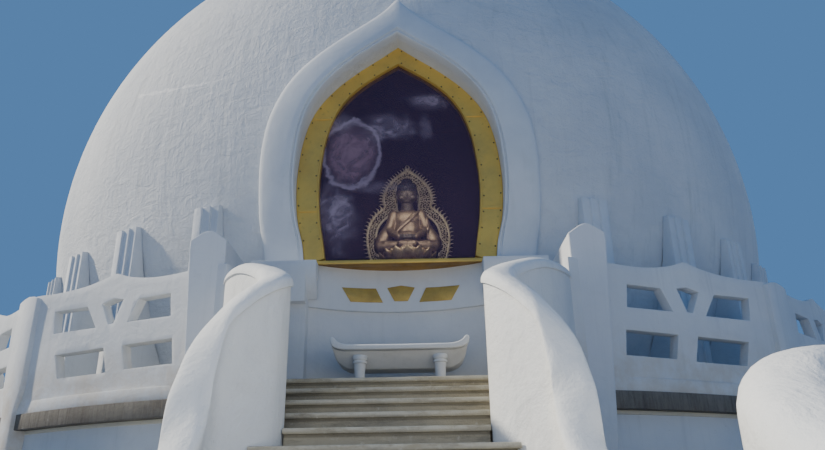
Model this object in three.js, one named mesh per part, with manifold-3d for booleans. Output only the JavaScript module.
// White peace stupa: round terrace with balustrade, dome with a glazed niche, square block and ringed spire.
// Millimetres, +Z up. Origin on the axis of the dome at ground level. The stair faces -Y.

import * as THREE from 'three';
import { mergeVertices } from 'three/addons/utils/BufferGeometryUtils.js';
import Module from 'manifold-3d';

const wasm = await Module();
wasm.setup();

// Driving dimensions: terrace and dome
const GAP = 0.3;
const BASE_R = 10000;
const BASE_TOP = 2570;
const SLAB_R = 10150;
const SLAB_TOP = 2780;
const DOME_R = 9000;
const DOME_CENTRE_Z = 7450;
const DOME_SIDES = 60;
const DOME_RINGS = 12;

// Driving dimensions: balustrade, nine bays on each side of the gate
const SIDE_BAYS = 9;
const GATE_ANGLE = 13.2;
const PANEL_OUT_R = 10040;
const PANEL_THICK = 110;
const PANEL_TOP = [
  [-1400, 4392], [-960, 4387], [-650, 4408], [-320, 4471], [-110, 4542], [-10, 4570], [90, 4542],
  [270, 4502], [550, 4462], [1030, 4445], [1400, 4465],
];
const PANEL_INTO_POST = 100;
const PANEL_INTO_PIER = 500;
const LEDGE_R_IN = 9930;
const LEDGE_R_OUT = 10120;
const LEDGE_TOP = 2945;
const LEDGE_HALF_ANGLE = 7.7;
const POST_HALF = 240;
const POST_LEG_HALF = 150;
const POST_IN_R = 9830;
const POST_OUT_R = 10200;
const POST_FLARE_Z = 3100;
const POST_SHOULDER = 4430;
const POST_TOP = 4480;

// Driving dimensions: fins against the foot of the dome
const FIN_CLUSTERS = 30;
const FIN_FIRST_ANGLE = 19.3;
const FIN_THICK = 135;
const FIN_SPREAD = 0.8;
const FIN_OUT_R = [8980, 9020, 9060];
const FIN_DOME_R = DOME_R + 2;
const FIN_TANGENTS = [-26, -18, -10];
const FIN_TOPS = [5970, 5950, 5930];
const FIN_SLOPE = 20;
const PLINTH_R_IN = 7885;
const PLINTH_R_OUT = 9100;
const PLINTH_TOP = 3090;
const FIN_NODES = 6;

// Driving dimensions: niche, hood, window
const WINDOW_Y = -8700;
const WINDOW_BACK_Y = -8560;
const GLASS_Y = -8640;
const GLASS_THICK = 24;
const SILL_BOTTOM = 4880;
const SILL_TOP = 4970;
const HOOD_SPHERE_R = 9170;
const HOOD_BACK_Y = -8300;
const HOOD_FOOT_Z = 4850;
const CHAMBER_BACK_Y = -7000;
const CHAMBER_HALF = 1500;
const CHAMBER_FLOOR = 4900;
const CHAMBER_TOP = 8200;

// Driving dimensions: apse below the window
const APSE_HALF = 1320;
const APSE_BACK_Y = -7600;
const APSE_ARC_R = 2730;
const APSE_ARC_Y = -11112;
const APSE_LOWER_SET_BACK = 70;
const BAND_BOTTOM = 4235;
const PIER_HALF_IN = APSE_HALF + GAP;
const PIER_OUT = 2010;
const PIER_FRONT_Y = -8820;
const IMPOST_FRONT_Y = -8960;
const IMPOST_BOTTOM = 4330;

// Driving dimensions: stair
const LANDING_Z = 2710;
const LANDING_EDGE_Y = -11170;
const RISERS = 18;
const RISER = LANDING_Z / RISERS;
const TREAD = 306;
const NOSING = 28;
const NOSING_HEIGHT = 45;
const UPPER_STEPS = 6;
const LOWER_HALF = 2000;

// Driving dimensions: gate piers
const GATE_IN = 2130;
const GATE_OUT = 2590;
const GATE_FOOT_OUT = 2340;
const GATE_FRONT_Y = -9950;
const GATE_BACK_Y = -8750;
const GATE_SHOULDER = 4740;
const GATE_APEX = 4860;

// Driving dimensions: top
const BLOCK_HALF = 1750;
const BLOCK_BOTTOM = 15900;
const BLOCK_TOP = 18500;
const CORNICE_TOP = 19300;
const RING_COUNT = 13;
const RING_PITCH = 560;
const RING_R_FIRST = 1350;
const RING_R_LAST = 420;
const SPIRE_TOP = CORNICE_TOP + 500 + RING_COUNT * RING_PITCH;
const FINIAL_TOP = 29800;

const rad = THREE.MathUtils.degToRad;

// Materials
const white = (name) => new THREE.MeshStandardMaterial({ name, color: 0xdfe3e6, roughness: 0.9 });
const grey = (name) => new THREE.MeshStandardMaterial({ name, color: 0x8d897c, roughness: 0.95 });
const rawConcrete = (name) => new THREE.MeshStandardMaterial({ name, color: 0x4f4a45, roughness: 0.95 });
const gold = (name) => new THREE.MeshStandardMaterial({ name, color: 0xb8902c, roughness: 0.4, metalness: 0.9 });
const darkGlass = (name) => new THREE.MeshStandardMaterial({ name, color: 0x1d1226, roughness: 0.05 });
const gilt = (name) => new THREE.MeshStandardMaterial({ name, color: 0xc39a45, roughness: 0.35, metalness: 1 });

// Solids: conversion between three.js geometry and manifold solids
function solidOf(geometry) {
  const bare = geometry.index ? geometry.toNonIndexed() : geometry.clone();
  bare.deleteAttribute('normal');
  bare.deleteAttribute('uv');
  const merged = mergeVertices(bare, 1e-3);
  const source = merged.index.array;
  const triangles = [];
  for (let i = 0; i < source.length; i += 3) {
    const [a, b, c] = [source[i], source[i + 1], source[i + 2]];
    if (a !== b && b !== c && a !== c) triangles.push(a, b, c);
  }
  const vertProperties = new Float32Array(merged.attributes.position.array);
  let mesh = new wasm.Mesh({ numProp: 3, vertProperties, triVerts: new Uint32Array(triangles) });
  let solid = new wasm.Manifold(mesh);
  if (solid.volume() < 0) {
    for (let i = 0; i < triangles.length; i += 3) {
      [triangles[i + 1], triangles[i + 2]] = [triangles[i + 2], triangles[i + 1]];
    }
    mesh = new wasm.Mesh({ numProp: 3, vertProperties, triVerts: new Uint32Array(triangles) });
    solid = new wasm.Manifold(mesh);
  }
  return solid;
}

function geometryOf(solid) {
  const mesh = solid.getMesh();
  const geometry = new THREE.BufferGeometry();
  const stride = mesh.numProp;
  const positions = new Float32Array(mesh.numVert * 3);
  for (let i = 0; i < mesh.numVert; i += 1) {
    for (let k = 0; k < 3; k += 1) positions[3 * i + k] = mesh.vertProperties[stride * i + k];
  }
  geometry.setAttribute('position', new THREE.BufferAttribute(positions, 3));
  geometry.setIndex(new THREE.BufferAttribute(new Uint32Array(mesh.triVerts), 1));
  geometry.computeVertexNormals();
  return geometry;
}

// Basic solids
function box(x0, x1, y0, y1, z0, z1) {
  const geometry = new THREE.BoxGeometry(x1 - x0, y1 - y0, z1 - z0);
  geometry.translate((x0 + x1) / 2, (y0 + y1) / 2, (z0 + z1) / 2);
  return solidOf(geometry);
}

function revolved(profile, sides) {
  const points = profile.map(([r, z]) => new THREE.Vector2(r, z));
  return solidOf(new THREE.LatheGeometry(points, sides).rotateX(Math.PI / 2));
}

function cylinder(radius, z0, z1, sides, x = 0, y = 0) {
  const geometry = new THREE.CylinderGeometry(radius, radius, z1 - z0, sides).rotateX(Math.PI / 2);
  return solidOf(geometry.translate(x, y, (z0 + z1) / 2));
}

function ellipsoid(x, y, z, rx, ry, rz, sides = 8, rings = 6) {
  const geometry = new THREE.SphereGeometry(1, sides, rings).rotateX(Math.PI / 2);
  return solidOf(geometry.scale(rx, ry, rz).translate(x, y, z));
}

// Outline in plan, raised from z0 to z1
function plan(points, z0, z1) {
  const shape = new THREE.Shape(points.map(([x, y]) => new THREE.Vector2(x, y)));
  const geometry = new THREE.ExtrudeGeometry(shape, { depth: z1 - z0, bevelEnabled: false });
  return solidOf(geometry.translate(0, 0, z0));
}

// Outline seen from the front (x, z), from y0 to y1
function front(points, y0, y1) {
  const shape = new THREE.Shape(points.map(([x, z]) => new THREE.Vector2(x, z)));
  const geometry = new THREE.ExtrudeGeometry(shape, { depth: y1 - y0, bevelEnabled: false });
  return solidOf(geometry.rotateX(Math.PI / 2).translate(0, y1, 0));
}

// Outline seen from the side (y, z), from x0 to x1
function side(points, x0, x1) {
  const shape = new THREE.Shape(points.map(([y, z]) => new THREE.Vector2(y, z)));
  const geometry = new THREE.ExtrudeGeometry(shape, { depth: x1 - x0, bevelEnabled: false });
  const turn = new THREE.Matrix4();
  turn.makeBasis(new THREE.Vector3(0, 1, 0), new THREE.Vector3(0, 0, 1), new THREE.Vector3(1, 0, 0));
  return solidOf(geometry.applyMatrix4(turn).translate(x0, 0, 0));
}

const mirrored = (solid) => solid.mirror([1, 0, 0]);
const largest = (solid) => solid.decompose().sort((a, b) => b.volume() - a.volume())[0];

// Dome body as a revolved sphere cut level at the floor
function domeBody(radius) {
  const floorZ = SLAB_TOP + GAP;
  const start = Math.asin((floorZ - DOME_CENTRE_Z) / radius);
  const profile = [[0, floorZ]];
  for (let i = 0; i <= DOME_RINGS; i += 1) {
    const angle = start + ((Math.PI / 2 - start) * i) / DOME_RINGS;
    const r = i === DOME_RINGS ? 0 : radius * Math.cos(angle);
    profile.push([r, DOME_CENTRE_Z + radius * Math.sin(angle)]);
  }
  return revolved(profile, DOME_SIDES);
}

// Pointed arch outlines: half width at each height, from the foot to the apex
const WINDOW_HALF = [
  [1440, 5200], [1530, 5600], [1565, 6050], [1555, 6450], [1500, 6900],
  [1400, 7280], [1240, 7600], [980, 7920], [640, 8220], [300, 8470],
];
const WINDOW_APEX = 8700;
const GLASS_HALF = [
  [1130, 5200], [1190, 5600], [1220, 6050], [1205, 6450], [1150, 6900],
  [1060, 7250], [930, 7550], [720, 7830], [420, 8090],
];
const GLASS_APEX = 8370;
const HOOD_HALF = [
  [2050, 5200], [2110, 5600], [2130, 6100], [2120, 6600], [2060, 7050], [1960, 7400],
  [1790, 7760], [1560, 8080], [1250, 8380], [880, 8680], [520, 8960], [230, 9230],
];
const HOOD_APEX = 9560;

function arch(halves, footHalf, footZ, apexZ, grow = 0) {
  const right = [[footHalf + grow, footZ]];
  for (const [half, z] of halves) right.push([half + grow, z]);
  const left = right.map(([x, z]) => [-x, z]).reverse();
  return [...right, [0, apexZ + grow * 1.3], ...left];
}

const windowOuter = (grow) => arch(WINDOW_HALF, 1400, SILL_BOTTOM, WINDOW_APEX, grow);
const hoodInner = () => arch(WINDOW_HALF, 1400, HOOD_FOOT_Z - 50, WINDOW_APEX, GAP);
const glassOutline = (grow) => arch(GLASS_HALF, 1100, SILL_TOP, GLASS_APEX, grow);
const hoodOuter = () => arch(HOOD_HALF, 2020, HOOD_FOOT_Z + GAP, HOOD_APEX);

// Wall that follows stations [x, y, top], with upright faces and a rounded cap
function sweptWall(stations, halfThick, capHeight, count, grow = 0) {
  const curve = new THREE.CatmullRomCurve3(stations.map(([x, y, z]) => new THREE.Vector3(x, y, z)));
  const points = curve.getPoints(count);
  const t = halfThick + grow;
  const positions = [];
  const ringSize = 7;
  points.forEach((point, i) => {
    const before = points[Math.max(i - 1, 0)];
    const after = points[Math.min(i + 1, points.length - 1)];
    const along = new THREE.Vector2(after.x - before.x, after.y - before.y).normalize();
    const [nx, ny] = [-along.y, along.x];
    const top = point.z + grow;
    const section = [
      [-t, 0], [-t, top - capHeight], [-0.72 * t, top - 0.28 * capHeight], [0, top],
      [0.72 * t, top - 0.28 * capHeight], [t, top - capHeight], [t, 0],
    ];
    const past = (i === points.length - 1 ? grow : 0) - (i === 0 ? grow : 0);
    for (const [u, z] of section) {
      positions.push(point.x + nx * u + along.x * past, point.y + ny * u + along.y * past, z);
    }
  });
  const index = [];
  for (let i = 0; i < points.length - 1; i += 1) {
    for (let k = 0; k < ringSize; k += 1) {
      const a = i * ringSize + k;
      const b = i * ringSize + ((k + 1) % ringSize);
      index.push(a, b, b + ringSize, a, b + ringSize, a + ringSize);
    }
  }
  const last = (points.length - 1) * ringSize;
  for (let k = 1; k < ringSize - 1; k += 1) {
    index.push(0, k + 1, k);
    index.push(last, last + k, last + k + 1);
  }
  const geometry = new THREE.BufferGeometry();
  geometry.setAttribute('position', new THREE.Float32BufferAttribute(positions, 3));
  geometry.setIndex(index);
  return solidOf(geometry);
}

// Right parapet: from the gate pier in to the neck of the stair, then round, out and down
const PARAPET_PATH = [
  [GATE_IN + 100, GATE_BACK_Y - 450, 4360], [2010, -9850, 4270], [1720, -10600, 4070], [1380, -11300, 3850],
  [1070, -11850, 3600], [905, -12250, 3400], [895, -12460, 3280], [1060, -12690, 3040],
  [1180, -12830, 2790], [1225, -12960, 2450], [1240, -13120, 1950], [1400, -13400, 1560], [1850, -13620, 1500],
];
const PARAPET_HALF = 135;
const PARAPET_CAP = 120;
const PARAPET_STATIONS = 32;
const PARAPET_UPPER_POINTS = 9;
const parapet = (grow) => sweptWall(PARAPET_PATH, PARAPET_HALF, PARAPET_CAP, PARAPET_STATIONS, grow);

// Wing walls: from the foot of the lower flight back and round to the base wall, the left one further out
const WING_PATH = [
  [2230, -16650, 900], [2230, -15400, 1330], [2235, -14400, 1680], [2270, -13600, 2130],
  [2500, -13150, 2430], [3000, -12800, 2540], [3900, -12300, 2540], [4900, -11500, 2430],
  [5800, -10200, 2300], [6300, -8800, 2220], [6400, -7350, 2180],
];
const WING_LEFT_OUT = [0, 0, 120, 260, 280, 250, 200, 100, 0, 0, 0];
const WING_LEFT_PATH = WING_PATH.map(([x, y, z], i) => [x + WING_LEFT_OUT[i], y, z]);
const WING_HALF = 280;
const WING_CAP = 260;
const WING_STATIONS = 22;
const wing = (path, grow) => sweptWall(path, WING_HALF, WING_CAP, WING_STATIONS, grow);

const group = new THREE.Group();

function add(name, solid, material) {
  const mesh = new THREE.Mesh(geometryOf(solid), material);
  mesh.name = name;
  group.add(mesh);
}

// Base wall and terrace slab
const baseBody = cylinder(BASE_R, 0, BASE_TOP, DOME_SIDES);
const slabBody = cylinder(SLAB_R, BASE_TOP + GAP, SLAB_TOP, DOME_SIDES);
const baseClear = cylinder(BASE_R + GAP, -10, BASE_TOP + GAP, DOME_SIDES);
const slabClear = cylinder(SLAB_R + GAP, BASE_TOP - 1, SLAB_TOP + GAP, DOME_SIDES);
add('base_wall', baseBody, white('base_plaster'));
add('terrace_slab', slabBody, rawConcrete('slab_edge'));

function arcPlan(r0, r1, from, to, steps) {
  const outer = [];
  const inner = [];
  for (let i = 0; i <= steps; i += 1) {
    const angle = rad(from + ((to - from) * i) / steps);
    outer.push([r1 * Math.sin(angle), -r1 * Math.cos(angle)]);
    inner.push([r0 * Math.sin(angle), -r0 * Math.cos(angle)]);
  }
  return [...outer, ...inner.reverse()];
}

// Gate pier: a thick fin with a petal-shaped head, narrower at its foot
function gateBody(grow) {
  const middle = (GATE_IN + GATE_OUT) / 2;
  const outline = [
    [GATE_IN - grow, 0], [GATE_FOOT_OUT + grow, 0], [GATE_OUT + grow, GATE_SHOULDER], [middle + 60, GATE_APEX + grow],
    [middle - 60, GATE_APEX + grow], [GATE_IN - grow, GATE_SHOULDER],
  ];
  return front(outline, GATE_FRONT_Y - grow, GATE_BACK_Y + grow);
}
const piersClear = gateBody(GAP).add(mirrored(gateBody(GAP)));
const roundClear = baseClear.add(slabClear);

// Balustrade bay: a straight panel with an ogee top and five openings, on a curved ledge
const OPENINGS = [
  [[-1200, 3210], [-425, 3210], [-345, 3532], [-1160, 3532]],
  [[-115, 3200], [770, 3200], [880, 3535], [-20, 3535]],
  [[-1100, 3822], [-370, 3834], [-519, 4136], [-1054, 4131]],
  [[-131, 3850], [-38, 3845], [135, 4158], [-74, 4203], [-249, 4166]],
  [[181, 3828], [992, 3842], [1050, 4174], [405, 4153]],
];

function balustradePanel(pastStart, pastEnd) {
  const [start, startTop] = PANEL_TOP[0];
  const [end, endTop] = PANEL_TOP[PANEL_TOP.length - 1];
  const outline = [
    [start - pastStart, SLAB_TOP + GAP], [end + pastEnd, SLAB_TOP + GAP], [end + pastEnd, endTop],
    ...[...PANEL_TOP].reverse(), [start - pastStart, startTop],
  ];
  const y = -PANEL_OUT_R;
  let panel = front(outline, y, y + PANEL_THICK);
  for (const opening of OPENINGS) panel = panel.subtract(front(opening, y - 50, y + PANEL_THICK + 50));
  const ledge = plan(arcPlan(LEDGE_R_IN, LEDGE_R_OUT, -LEDGE_HALF_ANGLE, LEDGE_HALF_ANGLE, 5), SLAB_TOP + GAP, LEDGE_TOP);
  return panel.add(ledge);
}

// Post between two bays, with a narrow leg that runs down in front of the slab and the base wall
function balustradePost(grow) {
  const half = POST_HALF + grow;
  const leg = POST_LEG_HALF + grow;
  return front([
    [-leg, 0], [leg, 0], [leg, SLAB_TOP], [half, POST_FLARE_Z], [half, POST_SHOULDER + grow],
    [0, POST_TOP + grow], [-half, POST_SHOULDER + grow], [-half, POST_FLARE_Z], [-leg, SLAB_TOP],
  ], -POST_OUT_R - grow, -POST_IN_R + grow);
}

const bayAngle = (180 - GATE_ANGLE) / SIDE_BAYS;
const postAt = (i, grow) => balustradePost(grow).rotate([0, 0, GATE_ANGLE + i * bayAngle]);

function balustradeBay(i, withPost) {
  const pastStart = i === 0 ? PANEL_INTO_PIER : PANEL_INTO_POST;
  const middle = GATE_ANGLE + (i + 0.5) * bayAngle;
  let bay = balustradePanel(pastStart, PANEL_INTO_POST).rotate([0, 0, middle]);
  bay = withPost ? bay.add(postAt(i + 1, 0)) : bay.subtract(postAt(i + 1, GAP));
  if (i > 0) bay = bay.subtract(postAt(i, GAP));
  return largest(bay.subtract(roundClear).subtract(piersClear));
}

const bayName = (number) => `balustrade_${String(number).padStart(2, '0')}`;
for (let i = 0; i < SIDE_BAYS; i += 1) {
  const isRear = i === SIDE_BAYS - 1;
  const right = balustradeBay(i, true);
  const left = isRear ? balustradeBay(i, false) : right;
  add(bayName(i + 1), right, white('balustrade_plaster'));
  add(bayName(2 * SIDE_BAYS - i), mirrored(left), white('balustrade_plaster'));
}

// Fins in threes on a low plinth, standing against the foot of the dome
const domeClear = domeBody(DOME_R + GAP);
const tangentRadius = (z, angle) => (FIN_DOME_R - (z - DOME_CENTRE_Z) * Math.sin(angle)) / Math.cos(angle);

function fin(top, outR) {
  const [low, middle, high] = FIN_TANGENTS.map(rad);
  const turn = (a, b) => FIN_DOME_R / Math.cos((b - a) / 2);
  const point = (a, b) => [
    -turn(a, b) * Math.cos((a + b) / 2), DOME_CENTRE_Z + turn(a, b) * Math.sin((a + b) / 2),
  ];
  const crest = top + FIN_SLOPE;
  const finFoot = PLINTH_TOP - 10;
  return side([
    [-outR, finFoot], [-tangentRadius(finFoot, low), finFoot], point(low, middle),
    point(middle, high), [-tangentRadius(crest, high), crest], [-outR, top],
  ], -FIN_THICK / 2, FIN_THICK / 2);
}

const finStep = (360 - 2 * FIN_FIRST_ANGLE) / (FIN_CLUSTERS - 1);
const perNode = FIN_CLUSTERS / FIN_NODES;
const finRings = [];
for (let n = 0; n < FIN_NODES / 2; n += 1) {
  const first = FIN_FIRST_ANGLE + n * perNode * finStep;
  const last = first + (perNode - 1) * finStep;
  const outline = arcPlan(PLINTH_R_IN, PLINTH_R_OUT, first - FIN_SPREAD - 1, last + FIN_SPREAD + 1, 10);
  let ring = plan(outline, SLAB_TOP + GAP, PLINTH_TOP);
  for (let k = 0; k < perNode; k += 1) {
    FIN_TOPS.forEach((top, i) => {
      ring = ring.add(fin(top, FIN_OUT_R[i]).rotate([0, 0, first + k * finStep + (i - 1) * FIN_SPREAD]));
    });
  }
  finRings.push(ring);
}
finRings.forEach((ring, n) => add(`fin_ring_${n + 1}`, ring, white('fin_plaster')));
finRings.forEach((ring, n) => add(`fin_ring_${FIN_NODES - n}`, mirrored(ring), white('fin_plaster')));

// Dome with the chamber behind the glass and the seat of the apse
const apseSeat = box(-PIER_HALF_IN, PIER_HALF_IN, -9600, APSE_BACK_Y - GAP, SLAB_TOP - 10, SILL_BOTTOM + GAP);
const hoodHole = front(windowOuter(GAP), -9700, HOOD_BACK_Y);
const chamber = box(-CHAMBER_HALF, CHAMBER_HALF, HOOD_BACK_Y - 10, CHAMBER_BACK_Y, CHAMBER_FLOOR, CHAMBER_TOP);
const hoodBody = front(hoodOuter(), -9700, HOOD_BACK_Y).subtract(front(hoodInner(), -9800, -8000));
const hoodFront = ellipsoid(0, 0, DOME_CENTRE_Z, HOOD_SPHERE_R, HOOD_SPHERE_R, HOOD_SPHERE_R, 72, 36);
let dome = domeBody(DOME_R).subtract(apseSeat).subtract(hoodHole).subtract(chamber);
add('dome_shell', dome, white('dome_plaster'));
add('niche_hood', hoodBody.intersect(hoodFront).subtract(domeClear), white('hood_plaster'));

// Window: gold frame with its sill and the soffit behind it, and the glass
const frameRing = front(windowOuter(0), WINDOW_Y, WINDOW_BACK_Y);
const glassHole = front(glassOutline(0), WINDOW_Y - 50, WINDOW_BACK_Y + 50);
const sill = box(-1300, 1300, WINDOW_Y - 40, WINDOW_BACK_Y, SILL_BOTTOM + 2 * GAP, SILL_TOP);
const SOFFIT_TOP = CHAMBER_FLOOR - 2;
const soffit = box(-1300, 1300, WINDOW_BACK_Y - 10, HOOD_BACK_Y - 2, SILL_BOTTOM + 2 * GAP, SOFFIT_TOP);
const glassSlot = front(glassOutline(40), GLASS_Y - GLASS_THICK / 2 - GAP, WINDOW_BACK_Y + 50);
const frame = frameRing.subtract(glassHole).add(sill).add(soffit).subtract(glassSlot);
add('window_frame', frame, gold('gold_sheet'));
const glass = front(glassOutline(40 - GAP), GLASS_Y - GLASS_THICK / 2, GLASS_Y + GLASS_THICK / 2);
add('window_glass', glass, darkGlass('dark_glass'));

// Apse wall with its band, and three gold panels on the band
const apseHollow = cylinder(APSE_ARC_R, BAND_BOTTOM, SILL_BOTTOM + 1, 64, 0, APSE_ARC_Y);
const apseLower = cylinder(APSE_ARC_R + APSE_LOWER_SET_BACK, 0, BAND_BOTTOM + 1, 64, 0, APSE_ARC_Y);
const apseBlock = box(-APSE_HALF, APSE_HALF, WINDOW_Y, APSE_BACK_Y - 2 * GAP, SLAB_TOP + GAP, SILL_BOTTOM);
add('apse_wall', apseBlock.subtract(apseHollow).subtract(apseLower), white('apse_plaster'));

const PANEL_PLATE = 14;
const plateRing = cylinder(APSE_ARC_R - GAP, BAND_BOTTOM, SILL_BOTTOM, 64, 0, APSE_ARC_Y)
  .subtract(cylinder(APSE_ARC_R - PANEL_PLATE, 0, SILL_BOTTOM + 50, 64, 0, APSE_ARC_Y));
const sidePanel = [[268, 4375], [738, 4368], [862, 4580], [371, 4590]];
const middlePanel = [[-100, 4396], [100, 4396], [205, 4602], [0, 4640], [-205, 4602]];
const plate = (outline) => plateRing.intersect(front(outline, -9600, -7900));
add('gold_panel_right', plate(sidePanel), gold('panel_gold'));
add('gold_panel_left', mirrored(plate(sidePanel)), gold('panel_gold'));
add('gold_panel_middle', plate(middlePanel), gold('panel_gold'));

// Pilasters with imposts that carry the foot of the hood
function pilaster() {
  const shaft = box(PIER_HALF_IN, PIER_OUT, PIER_FRONT_Y, -7400, SLAB_TOP + GAP, IMPOST_BOTTOM + 50);
  const impost = front([
    [PIER_HALF_IN, IMPOST_BOTTOM - 90], [PIER_OUT, IMPOST_BOTTOM - 90], [PIER_OUT + 60, IMPOST_BOTTOM + 40],
    [PIER_OUT + 90, IMPOST_BOTTOM + 420], [PIER_OUT + 90, HOOD_FOOT_Z], [PIER_HALF_IN + 130, HOOD_FOOT_Z],
    [PIER_HALF_IN + 130, SILL_BOTTOM - 40], [PIER_HALF_IN, SILL_BOTTOM - 40],
  ], IMPOST_FRONT_Y, -7800);
  const bracket = side([
    [IMPOST_FRONT_Y, HOOD_FOOT_Z], [IMPOST_FRONT_Y, 4700], [IMPOST_FRONT_Y + 50, 4480],
    [WINDOW_Y - GAP - 60, 4330], [WINDOW_Y - 50 - GAP, 4330], [WINDOW_Y - 50 - GAP, HOOD_FOOT_Z],
  ], 1180, PIER_HALF_IN + 200);
  return shaft.add(impost).add(bracket).subtract(domeClear);
}
const pilasterRight = pilaster();
add('pilaster_right', pilasterRight, white('pilaster_plaster'));
add('pilaster_left', mirrored(pilasterRight), white('pilaster_plaster'));

// Statue in the chamber: lotus seat, seated figure, flame halo behind
const STATUE_X = 100;
const SEAT_Y = -7750;
const SEAT_FLOOR = CHAMBER_FLOOR + GAP;
const SEAT_HEIGHT = 420;
const seat = revolved([
  [0, 0], [500, 0], [540, 60], [490, 120], [400, 190], [470, 300], [520, 385], [470, SEAT_HEIGHT], [0, SEAT_HEIGHT],
], 20).translate([STATUE_X, SEAT_Y, SEAT_FLOOR]);
add('lotus_seat', seat, gilt('seat_gilt'));

const BODY_Z = SEAT_FLOOR + SEAT_HEIGHT + GAP;
const FIGURE_WIDTH = 1.04;
const FIGURE_TALL = 1.2;
function seatedFigure() {
  const y = SEAT_Y;
  let body = ellipsoid(0, y - 60, BODY_Z + 130, 520, 330, 135, 12, 6);
  const parts = [
    ellipsoid(0, y + 30, BODY_Z + 420, 240, 170, 360),
    ellipsoid(-235, y + 10, BODY_Z + 560, 85, 90, 250),
    ellipsoid(235, y + 10, BODY_Z + 560, 85, 90, 250),
    ellipsoid(0, y - 170, BODY_Z + 270, 250, 110, 70),
    cylinder(75, BODY_Z + 700, BODY_Z + 860, 8, 0, y + 10),
    ellipsoid(0, y, BODY_Z + 980, 135, 150, 185, 12, 8),
    ellipsoid(0, y + 15, BODY_Z + 1160, 65, 65, 60, 8, 4),
  ];
  for (const part of parts) body = body.add(part);
  const whole = body.subtract(box(-900, 900, y - 900, y + 900, BODY_Z - 300, BODY_Z));
  return whole.translate([0, -y, -BODY_Z]).scale([FIGURE_WIDTH, FIGURE_WIDTH, FIGURE_TALL])
    .translate([STATUE_X, y, BODY_Z]);
}
add('statue_figure', seatedFigure(), gilt('figure_gilt'));

const HALO_Y = SEAT_Y + 640;
const HALO_APEX = 2520;
function haloOutline() {
  const right = [
    [350, 0], [620, 300], [720, 800], [790, 1200], [730, 1450], [520, 1680], [480, 1880], [400, 2100], [250, 2300],
    [110, 2420],
  ];
  const left = right.map(([x, z]) => [-x, z]).reverse();
  return [...right, [0, HALO_APEX], ...left].map(([x, z]) => [x + STATUE_X, z + SEAT_FLOOR]);
}
add('statue_halo', front(haloOutline(), HALO_Y, HALO_Y + 50), gilt('halo_gilt'));

// Altar: tray with a thin lip and upturned ends, its belly set back behind two slim legs
const ALTAR_Y0 = -9330;
const ALTAR_BELLY_Y = -9080;
const ALTAR_Y1 = -8730;
const LIP_BOTTOM = 3470;
const altarTop = [
  [900, 3640], [860, 3640], [800, 3560], [700, 3540], [-700, 3540], [-800, 3560], [-860, 3640], [-900, 3640],
];
const altarLip = front([...altarTop, [-880, 3560], [-790, 3485], [-680, LIP_BOTTOM], [680, LIP_BOTTOM], [790, 3485],
  [880, 3560]], ALTAR_Y0, ALTAR_Y1);
const altarBelly = front([...altarTop, [-880, 3500], [-800, 3350], [-640, 3240], [640, 3240], [800, 3350],
  [880, 3500]], ALTAR_BELLY_Y, ALTAR_Y1);
add('altar_tray', altarLip.add(altarBelly), white('altar_plaster'));
const ALTAR_LEG_X = 520;
const ALTAR_LEG_Y = -9200;
const altarLeg = revolved([
  [0, SLAB_TOP + GAP], [90, SLAB_TOP + GAP], [95, SLAB_TOP + 60], [55, SLAB_TOP + 90], [70, 3405],
  [95, 3420], [95, LIP_BOTTOM - GAP], [0, LIP_BOTTOM - GAP],
], 16);
add('altar_leg_left', altarLeg.translate([-ALTAR_LEG_X, ALTAR_LEG_Y, 0]), white('leg_plaster'));
add('altar_leg_right', altarLeg.translate([ALTAR_LEG_X, ALTAR_LEG_Y, 0]), white('leg_plaster'));

// Stair: narrow upper flight between the parapets, wide lower flight between the wing walls
function stairProfile(first, last, backY) {
  const points = [[backY, 0], [backY, LANDING_Z - first * RISER]];
  for (let k = first; k < last; k += 1) {
    const edge = LANDING_EDGE_Y - k * TREAD;
    const z = LANDING_Z - k * RISER;
    points.push([edge - NOSING, z], [edge - NOSING, z - NOSING_HEIGHT], [edge, z - NOSING_HEIGHT], [edge, z - RISER]);
  }
  points.push([LANDING_EDGE_Y - (last - 1) * TREAD, 0]);
  const clean = points.filter(([y, z], i) => i === 0 || y !== points[i - 1][0] || z !== points[i - 1][1]);
  return clean;
}

const parapetRight = parapet(0);
const parapetClear = parapet(GAP);
const wingClear = wing(WING_PATH, GAP);
const wingLeftClear = wing(WING_LEFT_PATH, GAP);
const bothClear = parapetClear.add(mirrored(parapetClear)).add(wingClear).add(mirrored(wingLeftClear));
const upperPath = PARAPET_PATH.slice(0, PARAPET_UPPER_POINTS).map(([x, y]) => [x, y]);
const betweenParapets = plan([...upperPath, ...upperPath.map(([x, y]) => [-x, y]).reverse()], 0, LANDING_Z + 100);
const lowerFlightBack = LANDING_EDGE_Y - (UPPER_STEPS - 1) * TREAD - 2 * GAP;
let upperFlight = side(stairProfile(0, UPPER_STEPS, -8800), -2600, 2600).intersect(betweenParapets);
upperFlight = upperFlight.subtract(bothClear).subtract(roundClear).subtract(piersClear);
add('stair_upper', largest(upperFlight), grey('stair_concrete'));
const lowerFlight = side(stairProfile(UPPER_STEPS, RISERS, lowerFlightBack), -LOWER_HALF, LOWER_HALF);
add('stair_lower', lowerFlight.subtract(bothClear), grey('stair_concrete'));

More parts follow.
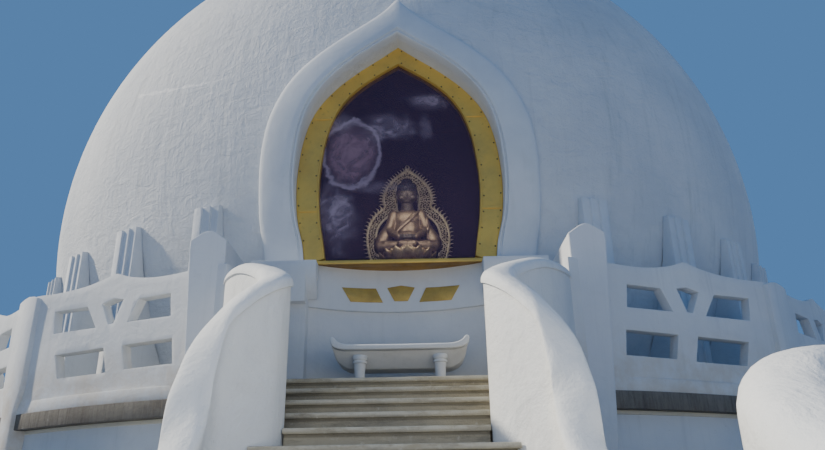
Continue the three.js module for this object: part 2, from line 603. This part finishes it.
// Parapets, wing walls and gate piers
const parapetFree = parapetRight.subtract(roundClear).subtract(piersClear);
add('parapet_right', largest(parapetFree.subtract(wingClear)), white('parapet_plaster'));
add('parapet_left', mirrored(largest(parapetFree.subtract(wingLeftClear))), white('parapet_plaster'));
add('wing_wall_right', largest(wing(WING_PATH, 0).subtract(roundClear)), white('wing_plaster'));
add('wing_wall_left', mirrored(largest(wing(WING_LEFT_PATH, 0).subtract(roundClear))), white('wing_plaster'));

const pierRight = gateBody(0).subtract(roundClear).subtract(domeClear);
add('gate_pier_right', pierRight, white('pier_plaster'));
add('gate_pier_left', mirrored(pierRight), white('pier_plaster'));

// Square block with its cornice, ringed spire and finial
const block = box(-BLOCK_HALF, BLOCK_HALF, -BLOCK_HALF, BLOCK_HALF, BLOCK_BOTTOM, BLOCK_TOP).subtract(domeClear);
add('top_block', block, white('block_plaster'));
const cornice = box(-BLOCK_HALF - 200, BLOCK_HALF + 200, -BLOCK_HALF - 200, BLOCK_HALF + 200, BLOCK_TOP + GAP, BLOCK_TOP + 350)
  .add(box(-BLOCK_HALF - 450, BLOCK_HALF + 450, -BLOCK_HALF - 450, BLOCK_HALF + 450, BLOCK_TOP + 350, CORNICE_TOP));
add('top_cornice', cornice, white('cornice_plaster'));

function spireProfile() {
  const base = CORNICE_TOP + GAP;
  const points = [[0, base], [RING_R_FIRST + 150, base], [RING_R_FIRST + 150, base + 300], [RING_R_FIRST - 200, base + 500]];
  for (let i = 0; i < RING_COUNT; i += 1) {
    const r = RING_R_FIRST + ((RING_R_LAST - RING_R_FIRST) * i) / (RING_COUNT - 1);
    const z = CORNICE_TOP + 500 + i * RING_PITCH;
    points.push([r, z + 110], [r, z + 340], [r * 0.72, z + RING_PITCH]);
  }
  points.push([0, SPIRE_TOP]);
  return points;
}
add('spire_rings', revolved(spireProfile(), 16), gold('spire_gold'));
const finial = revolved([
  [0, SPIRE_TOP + GAP], [260, SPIRE_TOP + GAP], [620, SPIRE_TOP + 250], [300, SPIRE_TOP + 480], [150, SPIRE_TOP + 900],
  [360, SPIRE_TOP + 1300], [150, SPIRE_TOP + 1650], [60, FINIAL_TOP - 400], [0, FINIAL_TOP],
], 16);
add('spire_finial', finial, gold('finial_gold'));

export default group;
